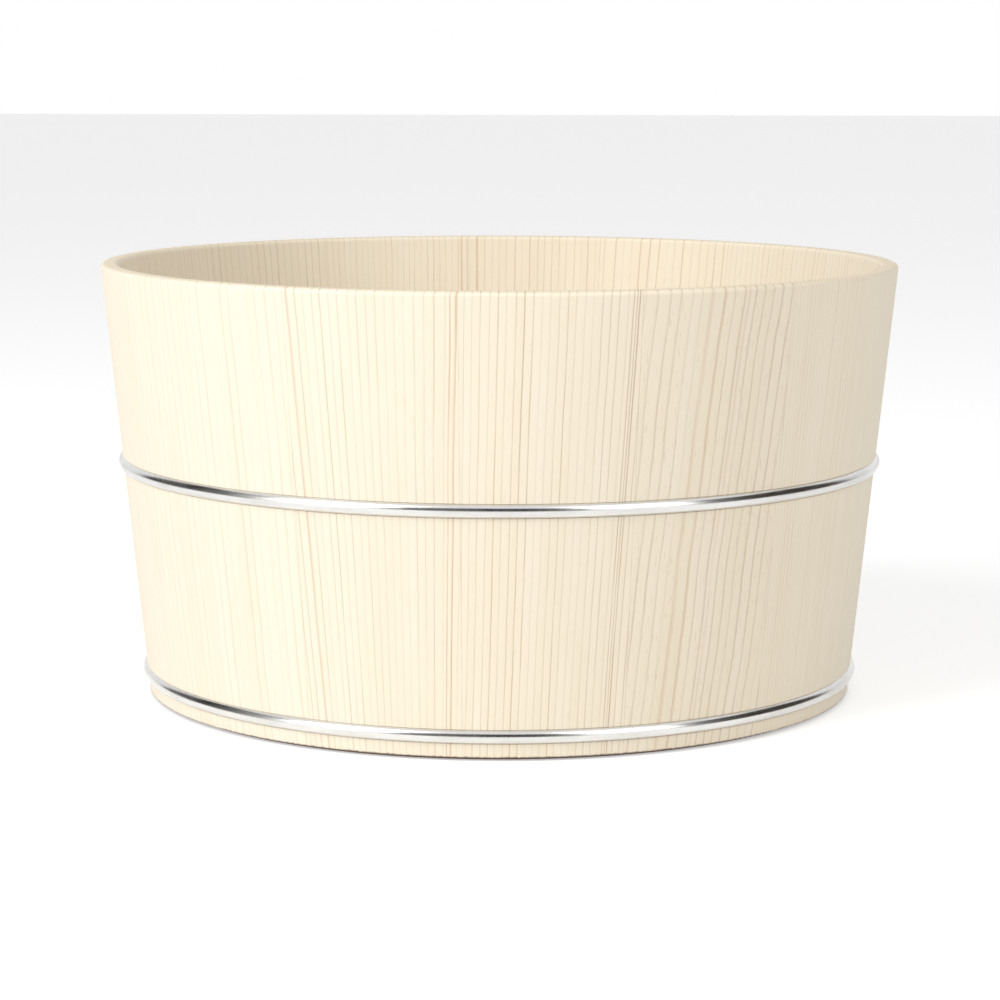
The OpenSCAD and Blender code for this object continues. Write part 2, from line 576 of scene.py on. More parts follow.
class WoodFibre(Effect):
    """Fine fibres that run along a board, and short flecks between them."""

    title = "Wood fibre"
    takes = {"Local": Port.VECTOR, "Seed": Port.VALUE}
    gives = {"Fibre": Port.VALUE, "Fleck": Port.VALUE, "Cloud": Port.VALUE}
    fibre_size: ClassVar[tuple[float, float, float]] = (0.32, 0.32, 18.0)
    fleck_size: ClassVar[tuple[float, float, float]] = (0.42, 0.42, 3.4)
    cloud_size: ClassVar[tuple[float, float, float]] = (9.0, 9.0, 60.0)

    @classmethod
    def wire(cls, wiring: Wiring, given: bpy.types.NodeOutputs) -> dict[str, Feed]:
        """Gives the fibres, the mask of the flecks and slow clouds of tone.

        Args:
            wiring: The wiring of the group's tree.
            given: The sockets of the group's inputs.

        Returns:
            For each output's name, the socket that feeds it.
        """
        fibre = wiring.noise(wiring.stretched(given["Local"], cls.fibre_size, given["Seed"]), 2.0, 0.6)
        flecks = wiring.noise(wiring.stretched(given["Local"], cls.fleck_size, given["Seed"]), 1.0)
        cloud = wiring.noise(wiring.stretched(given["Local"], cls.cloud_size, given["Seed"]), 2.0)
        return {"Fibre": fibre, "Fleck": wiring.step(flecks, 0.62, 0.74), "Cloud": cloud}


class EndGrain(Effect):
    """The cut ends of the fibres, on surfaces that look up or down."""

    title = "End grain"
    takes = {"Local": Port.VECTOR}
    gives = {"End": Port.VALUE, "Pores": Port.VALUE}
    pore_size: ClassVar[tuple[float, float, float]] = (0.3, 0.3, 0.6)

    @classmethod
    def wire(cls, wiring: Wiring, given: bpy.types.NodeOutputs) -> dict[str, Feed]:
        """Gives the mask of the cut ends, and the pores in them.

        Args:
            wiring: The wiring of the group's tree.
            given: The sockets of the group's inputs.

        Returns:
            For each output's name, the socket that feeds it.
        """
        normal = wiring.add("ShaderNodeNewGeometry").outputs["Normal"]
        upright = wiring.math(Op.ABSOLUTE, wiring.parts(normal)[2])
        pores = wiring.noise(wiring.stretched(given["Local"], cls.pore_size), 1.0)
        return {"End": wiring.step(upright, 0.55, 0.9), "Pores": wiring.step(pores, 0.4, 0.68)}


class ResinLine(Effect):
    """One coloured line that follows the ring sheets, wavering in strength along the board."""

    title = "Resin line"
    takes = {"Sheet": Port.VALUE, "Along": Port.VALUE, "Place": Port.VALUE, "Width": Port.VALUE}
    gives = {"Line": Port.VALUE}
    waver_length: ClassVar[float] = 30.0

    @classmethod
    def wire(cls, wiring: Wiring, given: bpy.types.NodeOutputs) -> dict[str, Feed]:
        """Gives the mask of the line.

        Args:
            wiring: The wiring of the group's tree.
            given: The sockets of the group's inputs.

        Returns:
            For each output's name, the socket that feeds it.
        """
        off = wiring.math(Op.ABSOLUTE, wiring.math(Op.SUBTRACT, given["Sheet"], given["Place"]))
        line = wiring.step(off, 0.0, given["Width"], 1.0, 0.0)
        spot = wiring.vector(wiring.math(Op.DIVIDE, given["Along"], cls.waver_length), given["Place"], 0.0)
        waver = wiring.step(wiring.noise(spot, 2.0), 0.3, 0.6, 0.45, 1.0)
        return {"Line": wiring.math(Op.MULTIPLY, line, waver)}


class JointLine(Effect):
    """The hairline where two staves or boards meet."""

    title = "Joint line"
    takes = {"Joint": Port.VALUE, "Along": Port.VALUE, "Width": Port.VALUE}
    gives = {"Line": Port.VALUE}
    waver_length: ClassVar[float] = 9.0

    @classmethod
    def wire(cls, wiring: Wiring, given: bpy.types.NodeOutputs) -> dict[str, Feed]:
        """Gives the mask of the hairline.

        Args:
            wiring: The wiring of the group's tree.
            given: The sockets of the group's inputs.

        Returns:
            For each output's name, the socket that feeds it.
        """
        line = wiring.step(given["Joint"], 0.0, given["Width"], 1.0, 0.0)
        spot = wiring.vector(wiring.math(Op.DIVIDE, given["Along"], cls.waver_length), 0.0, 0.0)
        waver = wiring.step(wiring.noise(spot, 2.0), 0.35, 0.6, 0.4, 1.0)
        return {"Line": wiring.math(Op.MULTIPLY, line, waver)}


class PaintedFootShade(Effect):
    """Painted shade: darker, red-brown wood at the very foot, standing in for the contact shadow under the
    undercut bevel.
    """

    title = "Painted foot shade"
    takes = {"Local": Port.VECTOR}
    gives = {"Painted Shade": Port.VALUE}
    reach: ClassVar[float] = 1.15
    creep: ClassVar[float] = 0.5
    ragged_size: ClassVar[tuple[float, float, float]] = (0.8, 0.8, 4.0)

    @classmethod
    def wire(cls, wiring: Wiring, given: bpy.types.NodeOutputs) -> dict[str, Feed]:
        """Gives the mask of the stain.

        Args:
            wiring: The wiring of the group's tree.
            given: The sockets of the group's inputs.

        Returns:
            For each output's name, the socket that feeds it.
        """
        along = wiring.parts(given["Local"])[2]
        ragged = wiring.noise(wiring.stretched(given["Local"], cls.ragged_size), 2.0)
        height = wiring.math(Op.MULTIPLY_ADD, ragged, -cls.creep, along)
        return {"Painted Shade": wiring.step(height, cls.reach - cls.creep, cls.reach, 1.0, 0.0)}


class DrawnWire(Effect):
    """Fine drawing lines, soft smudges and the dressed weld of a ring of drawn wire."""

    title = "Drawn wire"
    takes = {"Ring Radius": Port.VALUE, "Ring Height": Port.VALUE}
    gives = {"Lines": Port.VALUE, "Smudge": Port.VALUE, "Weld": Port.VALUE, "Heat": Port.VALUE}
    weld_half_length: ClassVar[float] = 3.2
    heat_half_length: ClassVar[float] = 11.0
    weld_core: ClassVar[float] = 0.6
    line_size: ClassVar[tuple[float, float, float]] = (0.11, 0.11, 30.0)
    smudge_size: ClassVar[tuple[float, float, float]] = (2.5, 2.5, 14.0)

    @classmethod
    def wire(cls, wiring: Wiring, given: bpy.types.NodeOutputs) -> dict[str, Feed]:
        """Gives the lines along the wire, the smudges on it, its weld and the heat tint round that.

        Args:
            wiring: The wiring of the group's tree.
            given: The sockets of the group's inputs.

        Returns:
            For each output's name, the socket that feeds it.
        """
        x, y, z = wiring.parts(millimetres(wiring))
        turn = wiring.math(Op.ANGLE, x, wiring.math(Op.MULTIPLY, y, -1.0))
        along = wiring.math(Op.MULTIPLY, turn, given["Ring Radius"])
        squares = wiring.math(Op.MULTIPLY_ADD, x, x, wiring.math(Op.MULTIPLY, y, y))
        out = wiring.math(Op.SUBTRACT, wiring.math(Op.SQUARE_ROOT, squares), given["Ring Radius"])
        up = wiring.math(Op.SUBTRACT, z, given["Ring Height"])
        local = wiring.vector(out, up, along)
        fine = wiring.noise(wiring.stretched(local, cls.line_size), 2.0, 0.6)
        smudge = wiring.noise(wiring.stretched(local, cls.smudge_size), 3.0)
        half_round = wiring.math(Op.MULTIPLY, given["Ring Radius"], math.pi)
        to_weld = wiring.math(Op.SUBTRACT, half_round, wiring.math(Op.ABSOLUTE, along))
        weld = wiring.step(to_weld, cls.weld_half_length * cls.weld_core, cls.weld_half_length, 1.0, 0.0)
        heat = wiring.step(to_weld, cls.weld_half_length, cls.heat_half_length, 1.0, 0.0)
        return {"Lines": fine, "Smudge": wiring.step(smudge, 0.38, 0.66), "Weld": weld, "Heat": heat}


class BambooFibre(Effect):
    """Dense fibre bundles that run along a bamboo pin."""

    title = "Bamboo fibre"
    takes = {"Local": Port.VECTOR}
    gives = {"Bundle": Port.VALUE, "Tone": Port.VALUE}
    bundle_size: ClassVar[tuple[float, float, float]] = (0.22, 0.22, 9.0)
    tone_size: ClassVar[tuple[float, float, float]] = (2.0, 2.0, 6.0)

    @classmethod
    def wire(cls, wiring: Wiring, given: bpy.types.NodeOutputs) -> dict[str, Feed]:
        """Gives the mask of the bundles and a slow change of tone.

        Args:
            wiring: The wiring of the group's tree.
            given: The sockets of the group's inputs.

        Returns:
            For each output's name, the socket that feeds it.
        """
        bundle = wiring.noise(wiring.stretched(given["Local"], cls.bundle_size), 2.0)
        tone = wiring.noise(wiring.stretched(given["Local"], cls.tone_size), 1.0)
        return {"Bundle": wiring.step(bundle, 0.42, 0.62), "Tone": tone}


def start_material(name: str) -> tuple[bpy.types.Material, Wiring, bpy.types.Node]:
    """Starts a material that holds only a Principled BSDF.

    Args:
        name: The material's name.

    Returns:
        The material, its wiring and its shader.
    """
    material = bpy.data.materials.new(name)
    material.use_nodes = True
    wiring = Wiring(material.node_tree)
    shader = next(node for node in material.node_tree.nodes if node.type == "BSDF_PRINCIPLED")
    return material, wiring, shader


def relief(wiring: Wiring, shader: bpy.types.Node, height: bpy.types.NodeSocket) -> None:
    """Gives a shader a fine relief.

    Args:
        wiring: The wiring of the material's tree.
        shader: The material's Principled BSDF.
        height: The relief's height, in millimetres.
    """
    bump = wiring.add("ShaderNodeBump")
    bump.inputs["Strength"].default_value = 1.0
    bump.inputs["Distance"].default_value = MM
    wiring.feed(bump.inputs["Height"], height)
    wiring.feed(shader.inputs["Normal"], bump.outputs[0])


@dataclass(frozen=True)
class Resin:
    """A strong coloured line in one stave: its place across the rim and its half width, in mm."""

    place: float
    width: float
    strength: float
    colour: Colour = (0.56, 0.28, 0.15)


@dataclass(frozen=True)
class Grain:
    """How the growth rings lie in one stave. Lengths are in millimetres."""

    spacing: float
    lean: float = 0.0
    converge: float = 0.11
    slant: float = 0.12
    wave: float = 0.5
    jitter: float = 0.32
    line_width: float = 0.24
    variety: float = 0.75
    strength: float = 0.6
    fleck: float = 0.1
    warmth: float = 0.4
    resin: tuple[Resin, ...] = ()


@dataclass(frozen=True)
class WoodColours:
    """The tones of bare planed softwood, as linear colours."""

    pale: Colour = (0.86, 0.79, 0.655)
    warm: Colour = (0.80, 0.69, 0.52)
    late: Colour = (0.40, 0.27, 0.14)
    fleck: Colour = (0.55, 0.43, 0.28)
    end: Colour = (0.78, 0.66, 0.48)
    joint: Colour = (0.42, 0.30, 0.18)
    # painted shade: near-black red-brown for the contact shadow under the foot's bevel
    painted_foot_shade: Colour = (0.10, 0.035, 0.012)


@dataclass(frozen=True)
class WoodFinish:
    """Bare planed softwood: a colour, a roughness and a surface that all follow its grain."""

    colours: WoodColours = field(default_factory=WoodColours)
    roughness: float = 0.56
    line_height: float = 0.012
    fibre_height: float = 0.006
    joint_width: float = 0.16
    joint_depth: float = 0.03
    joint_strength: float = 0.35
    ring_tone: float = 0.3
    cloud_tone: float = 0.5
    fibre_tone: float = 0.35
    middle_tone: float = 0.6
    end_share: float = 0.45
    end_lines: float = 0.35
    # how strongly the painted foot shade darkens the wood
    painted_foot_shade_share: float = 0.9
    cut_roughness: float = 0.14
    line_gloss: float = 0.1
    pore_depth: float = 0.012

    def stave(self, name: str, azimuth: float, grain: Grain, seed: float) -> bpy.types.Material:
        """Makes the finish of one stave.

        Args:
            name: The material's name.
            azimuth: Where the stave's middle looks, in radians.
            grain: How its growth rings lie.
            seed: A number that is this stave's own.

        Returns:
            The material.
        """
        material, wiring, shader = start_material(name)
        local = StaveFrame.place(wiring, azimuth=azimuth)
        sheet = RadialSheets.place(wiring, local=local["Local"], lean=grain.lean, converge=grain.converge,
                                   slant=grain.slant, wave=grain.wave, seed=seed)["Sheet"]
        self.dress(wiring, shader, local, sheet, grain, seed)
        return material

    def board(self, name: str, middle: float, width: float, grain: Grain, heart: float,
              rise: float, seed: float) -> bpy.types.Material:
        """Makes the finish of one board of the bottom.

        Args:
            name: The material's name.
            middle: The place of the board's middle along X, in millimetres.
            width: The board's width, in millimetres.
            grain: How its growth rings lie.
            heart: How far the heart of the trunk lies below the board, in millimetres.
            rise: How much nearer it comes for each millimetre along the board.
            seed: A number that is this board's own.

        Returns:
            The material.
        """
        material, wiring, shader = start_material(name)
        local = BoardFrame.place(wiring, middle=middle, half_width=width / 2)
        sheet = ArchedSheets.place(wiring, local=local["Local"], heart=heart, rise=rise,
                                   wave=grain.wave, seed=seed)["Sheet"]
        self.dress(wiring, shader, local, sheet, grain, seed)
        return material

    def dress(self, wiring: Wiring, shader: bpy.types.Node, local: bpy.types.NodeOutputs,
              sheet: bpy.types.NodeSocket, grain: Grain, seed: float) -> None:
        """Feeds a wood shader.

        Args:
            wiring: The wiring of the material's tree.
            shader: The material's Principled BSDF.
            local: The outputs of the board's frame.
            sheet: The distance across the ring sheets.
            grain: How the growth rings lie.
            seed: A number that is this board's own.
        """
        along = wiring.parts(local["Local"])[2]
        rings = GrowthRings.place(wiring, sheet=sheet, along=along, spacing=grain.spacing,
                                  jitter=grain.jitter, line_width=grain.line_width,
                                  variety=grain.variety, seed=seed)
        fibre = WoodFibre.place(wiring, local=local["Local"], seed=seed)
        end = EndGrain.place(wiring, local=local["Local"])
        joint = JointLine.place(wiring, joint=local["Joint"], along=along, width=self.joint_width)["Line"]
        # mask of the painted contact shade at the foot
        painted_foot_shade = PaintedFootShade.place(wiring, local=local["Local"])["Painted Shade"]

        tones = self.colours
        tone = wiring.weighted((rings["Tone"], self.ring_tone), (fibre["Cloud"], self.cloud_tone),
                               (fibre["Fibre"], self.fibre_tone), start=grain.warmth - self.middle_tone)
        colour = wiring.mix(tone, tones.pale, tones.warm)
        colour = wiring.mix(wiring.math(Op.MULTIPLY, end["End"], self.end_share), colour, tones.end)
        strength = wiring.weighted((end["End"], self.end_lines), start=grain.strength)
        late = wiring.math(Op.MULTIPLY, rings["Line"], strength)
        colour = wiring.mix(late, colour, tones.late)
        for line in grain.resin:
            mask = ResinLine.place(wiring, sheet=sheet, along=along, place=line.place,
                                   width=line.width)["Line"]
            colour = wiring.mix(wiring.math(Op.MULTIPLY, mask, line.strength), colour, line.colour)
        colour = wiring.mix(wiring.math(Op.MULTIPLY, fibre["Fleck"], grain.fleck), colour, tones.fleck)
        colour = wiring.mix(wiring.math(Op.MULTIPLY, joint, self.joint_strength), colour, tones.joint)
        # paints the contact shade under the foot into the wood's colour
        colour = wiring.mix(wiring.math(Op.MULTIPLY, painted_foot_shade, self.painted_foot_shade_share), colour, tones.painted_foot_shade)
        wiring.feed(shader.inputs["Base Color"], colour)

        roughness = wiring.weighted((fibre["Fibre"], self.cut_roughness), (rings["Line"], -self.line_gloss),
                                    (end["End"], self.cut_roughness),
                                    start=self.roughness - self.cut_roughness / 2)
        wiring.feed(shader.inputs["Roughness"], roughness)
        height = wiring.weighted((rings["Line"], self.line_height), (fibre["Fibre"], self.fibre_height),
                                 (fibre["Fleck"], -self.fibre_height), (joint, -self.joint_depth))
        pores = wiring.math(Op.MULTIPLY, end["End"], end["Pores"])
        relief(wiring, shader, wiring.weighted((height, 1.0), (pores, -self.pore_depth)))


@dataclass(frozen=True)
class SteelFinish:
    """Drawn and polished stainless wire."""

    bright: Colour = (0.74, 0.735, 0.72)
    dull: Colour = (0.62, 0.61, 0.59)
    straw: Colour = (0.62, 0.50, 0.33)
    roughness: float = 0.17
    smudge_shade: float = 0.5
    line_shade: float = 0.4
    heat_tint: float = 0.45
    smudge_roughness: float = 0.07
    line_roughness: float = 0.08
    weld_roughness: float = 0.16
    line_height: float = 0.0016

    def hoop(self, name: str, ring_radius: float, ring_height: float) -> bpy.types.Material:
        """Makes the finish of one hoop.

        Args:
            name: The material's name.
            ring_radius: The radius of the wire's centre line, in millimetres.
            ring_height: The height of the centre line, in millimetres.

        Returns:
            The material.
        """
        material, wiring, shader = start_material(name)
        wire = DrawnWire.place(wiring, ring_radius=ring_radius, ring_height=ring_height)
        shade = wiring.weighted((wire["Smudge"], self.smudge_shade), (wire["Lines"], self.line_shade))
        colour = wiring.mix(shade, self.bright, self.dull)
        colour = wiring.mix(wiring.math(Op.MULTIPLY, wire["Heat"], self.heat_tint), colour, self.straw)
        wiring.feed(shader.inputs["Base Color"], colour)
        shader.inputs["Metallic"].default_value = 1.0
        roughness = wiring.weighted((wire["Smudge"], self.smudge_roughness),
                                    (wire["Lines"], self.line_roughness),
                                    (wire["Weld"], self.weld_roughness), start=self.roughness)
        wiring.feed(shader.inputs["Roughness"], roughness)
        relief(wiring, shader, wiring.weighted((wire["Lines"], self.line_height)))
        return material


@dataclass(frozen=True)
class BambooFinish:
    """Bare bamboo, shaved round."""

    flesh: Colour = (0.66, 0.52, 0.30)
    bundle: Colour = (0.42, 0.29, 0.13)
    roughness: float = 0.5
    bundle_shade: float = 0.6
    tone_shade: float = 0.3
    bundle_gloss: float = 0.12
    bundle_height: float = 0.01

    def pins(self, name: str, lie: Lie) -> bpy.types.Material:
        """Makes the finish of one group of pins.

        Args:
            name: The material's name.
            lie: Which way the pins lie.

        Returns:
            The material.
        """
        material, wiring, shader = start_material(name)
        x, y, z = wiring.parts(millimetres(wiring))
        if lie is Lie.ROUND_THE_WALL:
            squares = wiring.math(Op.MULTIPLY_ADD, x, x, wiring.math(Op.MULTIPLY, y, y))
            out = wiring.math(Op.SQUARE_ROOT, squares)
            along = wiring.math(Op.MULTIPLY, wiring.math(Op.ANGLE, y, x), WALL.foot_radius)
            local = wiring.vector(out, z, along)
        else:
            local = wiring.vector(y, z, x)
        fibre = BambooFibre.place(wiring, local=local)
        shade = wiring.weighted((fibre["Bundle"], self.bundle_shade), (fibre["Tone"], self.tone_shade))
        wiring.feed(shader.inputs["Base Color"], wiring.mix(shade, self.flesh, self.bundle))
        roughness = wiring.weighted((fibre["Bundle"], -self.bundle_gloss), start=self.roughness)
        wiring.feed(shader.inputs["Roughness"], roughness)
        relief(wiring, shader, wiring.weighted((fibre["Bundle"], self.bundle_height)))
        return material


def dress_node(name: str, material: bpy.types.Material) -> None:
    """Puts a material on a CAD node and reports it.

    Args:
        name: The node's name.
        material: What it is made of.
    """
    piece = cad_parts[name]
    piece.material_slots[0].material = material
    LOG.info("%s: %s", name, material.name)


@dataclass
class Wall:
    """The wall of staves, from the one right of the front joint and on round to the right."""

    sizes: WallSizes = WALL
    finish: WoodFinish = field(default_factory=WoodFinish)
    seed: int = 7
    first_pattern: float = 11.0
    pattern_step: float = 5.3
    seen: dict[int, Grain] = field(default_factory=lambda: {
        0: Grain(spacing=2.2, lean=-3.2, converge=0.137, wave=0.45, strength=0.62, warmth=0.52,
                 resin=(Resin(22.4, 0.32, 0.6, DARK_RESIN), Resin(20.9, 0.28, 0.5, DARK_RESIN))),
        1: Grain(spacing=3.2, lean=-8.5, converge=0.11, wave=1.1, line_width=0.3, strength=0.42,
                 fleck=0.28, warmth=0.6,
                 resin=(Resin(-4.2, 0.7, 0.3), Resin(-0.4, 0.5, 0.32), Resin(7.5, 0.8, 0.22))),
        2: Grain(spacing=1.5, lean=-3.0, wave=0.3, line_width=0.35, strength=0.26, warmth=0.55),
        3: Grain(spacing=1.6, lean=-1.0, wave=0.3, line_width=0.35, strength=0.22, warmth=0.5),
        14: Grain(spacing=2.5, lean=1.1, converge=0.27, wave=0.4, strength=0.5, warmth=0.42,
                  resin=(Resin(22.7, 0.3, 0.75), Resin(21.2, 0.35, 0.6), Resin(-22.4, 0.5, 0.3))),
        13: Grain(spacing=3.0, lean=3.5, wave=0.8, strength=0.22, warmth=0.3, fleck=0.12),
        12: Grain(spacing=3.4, lean=4.0, wave=0.8, strength=0.2, warmth=0.25),
        11: Grain(spacing=2.4, lean=2.0, wave=0.6, strength=0.2, warmth=0.3),
        7: Grain(spacing=2.4, lean=0.5, wave=0.4, strength=0.5, warmth=0.55,
                 resin=(Resin(16.5, 0.5, 0.55), Resin(19.5, 0.45, 0.5))),
    })

    def grain(self, index: int, luck: random.Random) -> Grain:
        """Gives a stave its grain: a chosen one where the photograph shows it, else a random one.

        Args:
            index: The stave's place round the wall, counted from 0.
            luck: Where random values come from.

        Returns:
            How its growth rings lie.
        """
        drawn = Grain(
            spacing=luck.uniform(1.9, 3.2),
            lean=luck.uniform(-5.0, 5.0),
            converge=luck.uniform(0.08, 0.2),
            slant=luck.uniform(-0.25, 0.25),
            wave=luck.uniform(0.3, 1.0),
            strength=luck.uniform(0.3, 0.6),
            warmth=luck.uniform(0.3, 0.6),
        )
        return self.seen.get(index, drawn)

    def dress(self) -> None:
        """Gives every stave its own finish."""
        luck = random.Random(self.seed)
        for index in range(self.sizes.stave_count):
            name = f"stave_{index + 1:02d}"
            grain = self.grain(index, luck)
            seed = self.first_pattern + self.pattern_step * index
            material = self.finish.stave(f"softwood_{name}", self.sizes.stave_azimuth(index), grain, seed)
            dress_node(name, material)


@dataclass
class Bottom:
    """The three boards of the bottom."""

    finish: WoodFinish = field(default_factory=WoodFinish)
    first_pattern: float = 131.0
    pattern_step: float = 7.1
    grains: dict[str, Grain] = field(default_factory=lambda: {
        "bottom_board_left": Grain(spacing=3.0, wave=0.9, strength=0.5, warmth=0.5),
        "bottom_board_middle": Grain(spacing=3.4, wave=1.1, strength=0.5, warmth=0.42),
        "bottom_board_right": Grain(spacing=2.8, wave=0.9, strength=0.5, warmth=0.55),
    })
    hearts: dict[str, tuple[float, float]] = field(default_factory=lambda: {
        "bottom_board_left": (34.0, 0.06),
        "bottom_board_middle": (22.0, 0.1),
        "bottom_board_right": (40.0, -0.07),
    })

    def dress(self) -> None:
        """Gives every board its own finish."""
        for index, (name, grain) in enumerate(self.grains.items()):
            low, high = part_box(name)
            heart, rise = self.hearts[name]
            middle = (low.x + high.x) / 2 * PER_METRE
            width = (high.x - low.x) * PER_METRE
            seed = self.first_pattern + self.pattern_step * index
            material = self.finish.board(f"softwood_{name}", middle, width, grain, heart, rise, seed)
            dress_node(name, material)


@dataclass
class Hoop:
    """A hoop of round drawn wire, closed at the back by a butt weld that is dressed almost flush."""

    node: str
    finish: SteelFinish = field(default_factory=SteelFinish)
    round_steps: int = 720
    section_steps: int = 40
    weld_rise: float = 0.1 * MM
    weld_half_length: float = 3.2 * MM

    def build(self) -> bpy.types.Object:
        """Models the wire in the place of its CAD node.

        Returns:
            The hoop, finished and riding on the body.
        """
        low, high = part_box(self.node)
        wire = (high.z - low.z) / 2
        ring = high.x - wire
        height = (high.z + low.z) / 2
        mesh = bmesh.new()
        rows = [self.section(mesh, step, ring, wire, height) for step in range(self.round_steps)]
        for here, there in zip(rows, rows[1:] + rows[:1]):
            for step in range(self.section_steps):
                after = (step + 1) % self.section_steps
                mesh.faces.new((here[step], there[step], there[after], here[after])).smooth = True
        bmesh.ops.recalc_face_normals(mesh, faces=mesh.faces)
        data = bpy.data.meshes.new(f"{self.node}_wire")
        mesh.to_mesh(data)
        mesh.free()
        piece = bpy.data.objects.new(f"{self.node}_wire", data)
        bpy.context.scene.collection.objects.link(piece)
        material = self.finish.hoop(f"steel_{self.node}", ring * PER_METRE, height * PER_METRE)
        data.materials.append(material)
        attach(piece, "root")
        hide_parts(self.node)
        LOG.info("%s: %s, %d faces", piece.name, material.name, len(data.polygons))
        return piece

    def section(self, mesh: bmesh.types.BMesh, step: int, ring: float, wire: float,
                height: float) -> list[bmesh.types.BMVert]:
        """Adds one round section of the wire.

        Args:
            mesh: The mesh that is being built.
            step: Which section it is, counted from the back.
            ring: The radius of the centre line.
            wire: The radius of the wire.
            height: The height of the centre line.

        Returns:
            The section's corners, in order.
        """
        turn = 2 * math.pi * step / self.round_steps
        to_weld = ring * min(turn, 2 * math.pi - turn)
        bead = math.cos(min(1.0, to_weld / self.weld_half_length) * math.pi / 2) ** 2
        corners = []
        for corner in range(self.section_steps):
            angle = 2 * math.pi * corner / self.section_steps
            reach = wire + self.weld_rise * bead * max(0.0, math.cos(angle)) ** 0.5
            out = ring + reach * math.cos(angle)
            up = height + min(reach, wire) * math.sin(angle)
            corners.append(mesh.verts.new((out * math.sin(turn), out * math.cos(turn), up)))
        return corners


@dataclass
class Pins:
    """The bamboo pins inside the joints of the wall and of the bottom."""

    finish: BambooFinish = field(default_factory=BambooFinish)
    lies: dict[str, Lie] = field(default_factory=lambda: {
        "lower_stave_pins": Lie.ROUND_THE_WALL,
        "upper_stave_pins": Lie.ROUND_THE_WALL,
        "bottom_pins": Lie.ACROSS_THE_BOTTOM,
    })

    def dress(self) -> None:
        """Gives every group of pins its finish."""
        for name, lie in self.lies.items():
            dress_node(name, self.finish.pins(f"bamboo_{name}", lie))


@dataclass(frozen=True)
class Softbox:
    """A large soft lamp that looks at the bucket. Azimuth 0 is on the camera's side, + is to the right."""

    name: str
    azimuth: float
    elevation: float
    distance: float
    width: float
    height: float
    power: float

    def place(self, aim: Vector) -> None:
        """Sets the lamp up.

        Args:
            aim: The point that it looks at.
        """
        lamp = bpy.data.lights.new(self.name, "AREA")
        lamp.shape = "RECTANGLE"
        lamp.size = self.width
        lamp.size_y = self.height
        lamp.energy = self.power
        box = bpy.data.objects.new(self.name, lamp)
        bpy.context.scene.collection.objects.link(box)
        box.location = aim + around(self.azimuth, self.elevation, self.distance)
        box.rotation_euler = (aim - box.location).to_track_quat("-Z", "Y").to_euler()
        box.visible_camera = False
        LOG.info("%s: %.0f W", self.name, self.power)


@dataclass(frozen=True)
class Flag:
    """A dark curved screen of the studio, which shows only as a reflection in the hoops."""

    name: str
    start: float
    end: float
    colour: Colour
    radius: float = 2.4
    height: float = 2.2
    steps: int = 12

    def place(self) -> None:
        """Sets the screen up."""
        mesh = bmesh.new()
        pairs = []
        for step in range(self.steps + 1):
            azimuth = self.start + (self.end - self.start) * step / self.steps
            foot = around(azimuth, 0.0, self.radius)
            pairs.append([mesh.verts.new(foot), mesh.verts.new(foot + Vector((0.0, 0.0, self.height)))])
        for here, there in zip(pairs, pairs[1:]):
            mesh.faces.new((here[0], there[0], there[1], here[1]))
        data = bpy.data.meshes.new(self.name)
        mesh.to_mesh(data)
        mesh.free()
        screen = bpy.data.objects.new(self.name, data)
        bpy.context.scene.collection.objects.link(screen)
        material, _, shader = start_material(f"{self.name}_felt")
        shader.inputs["Base Color"].default_value = (*self.colour, 1.0)
        shader.inputs["Roughness"].default_value = 1.0
        data.materials.append(material)
        screen.visible_camera = False
        screen.visible_diffuse = False
        screen.visible_shadow = False
        screen.visible_transmission = False
        LOG.info("%s", self.name)


def around(azimuth: float, elevation: float, distance: float) -> Vector:
    """Gives a place round the bucket.

    Args:
        azimuth: Degrees from the camera's side, + to the right.
        elevation: Degrees above the horizon.
        distance: Metres from the centre.

    Returns:
        The place, measured from the centre.
    """
    side, up = math.radians(azimuth), math.radians(elevation)
    return Vector((math.sin(side) * math.cos(up), -math.cos(side) * math.cos(up), math.sin(up))) * distance


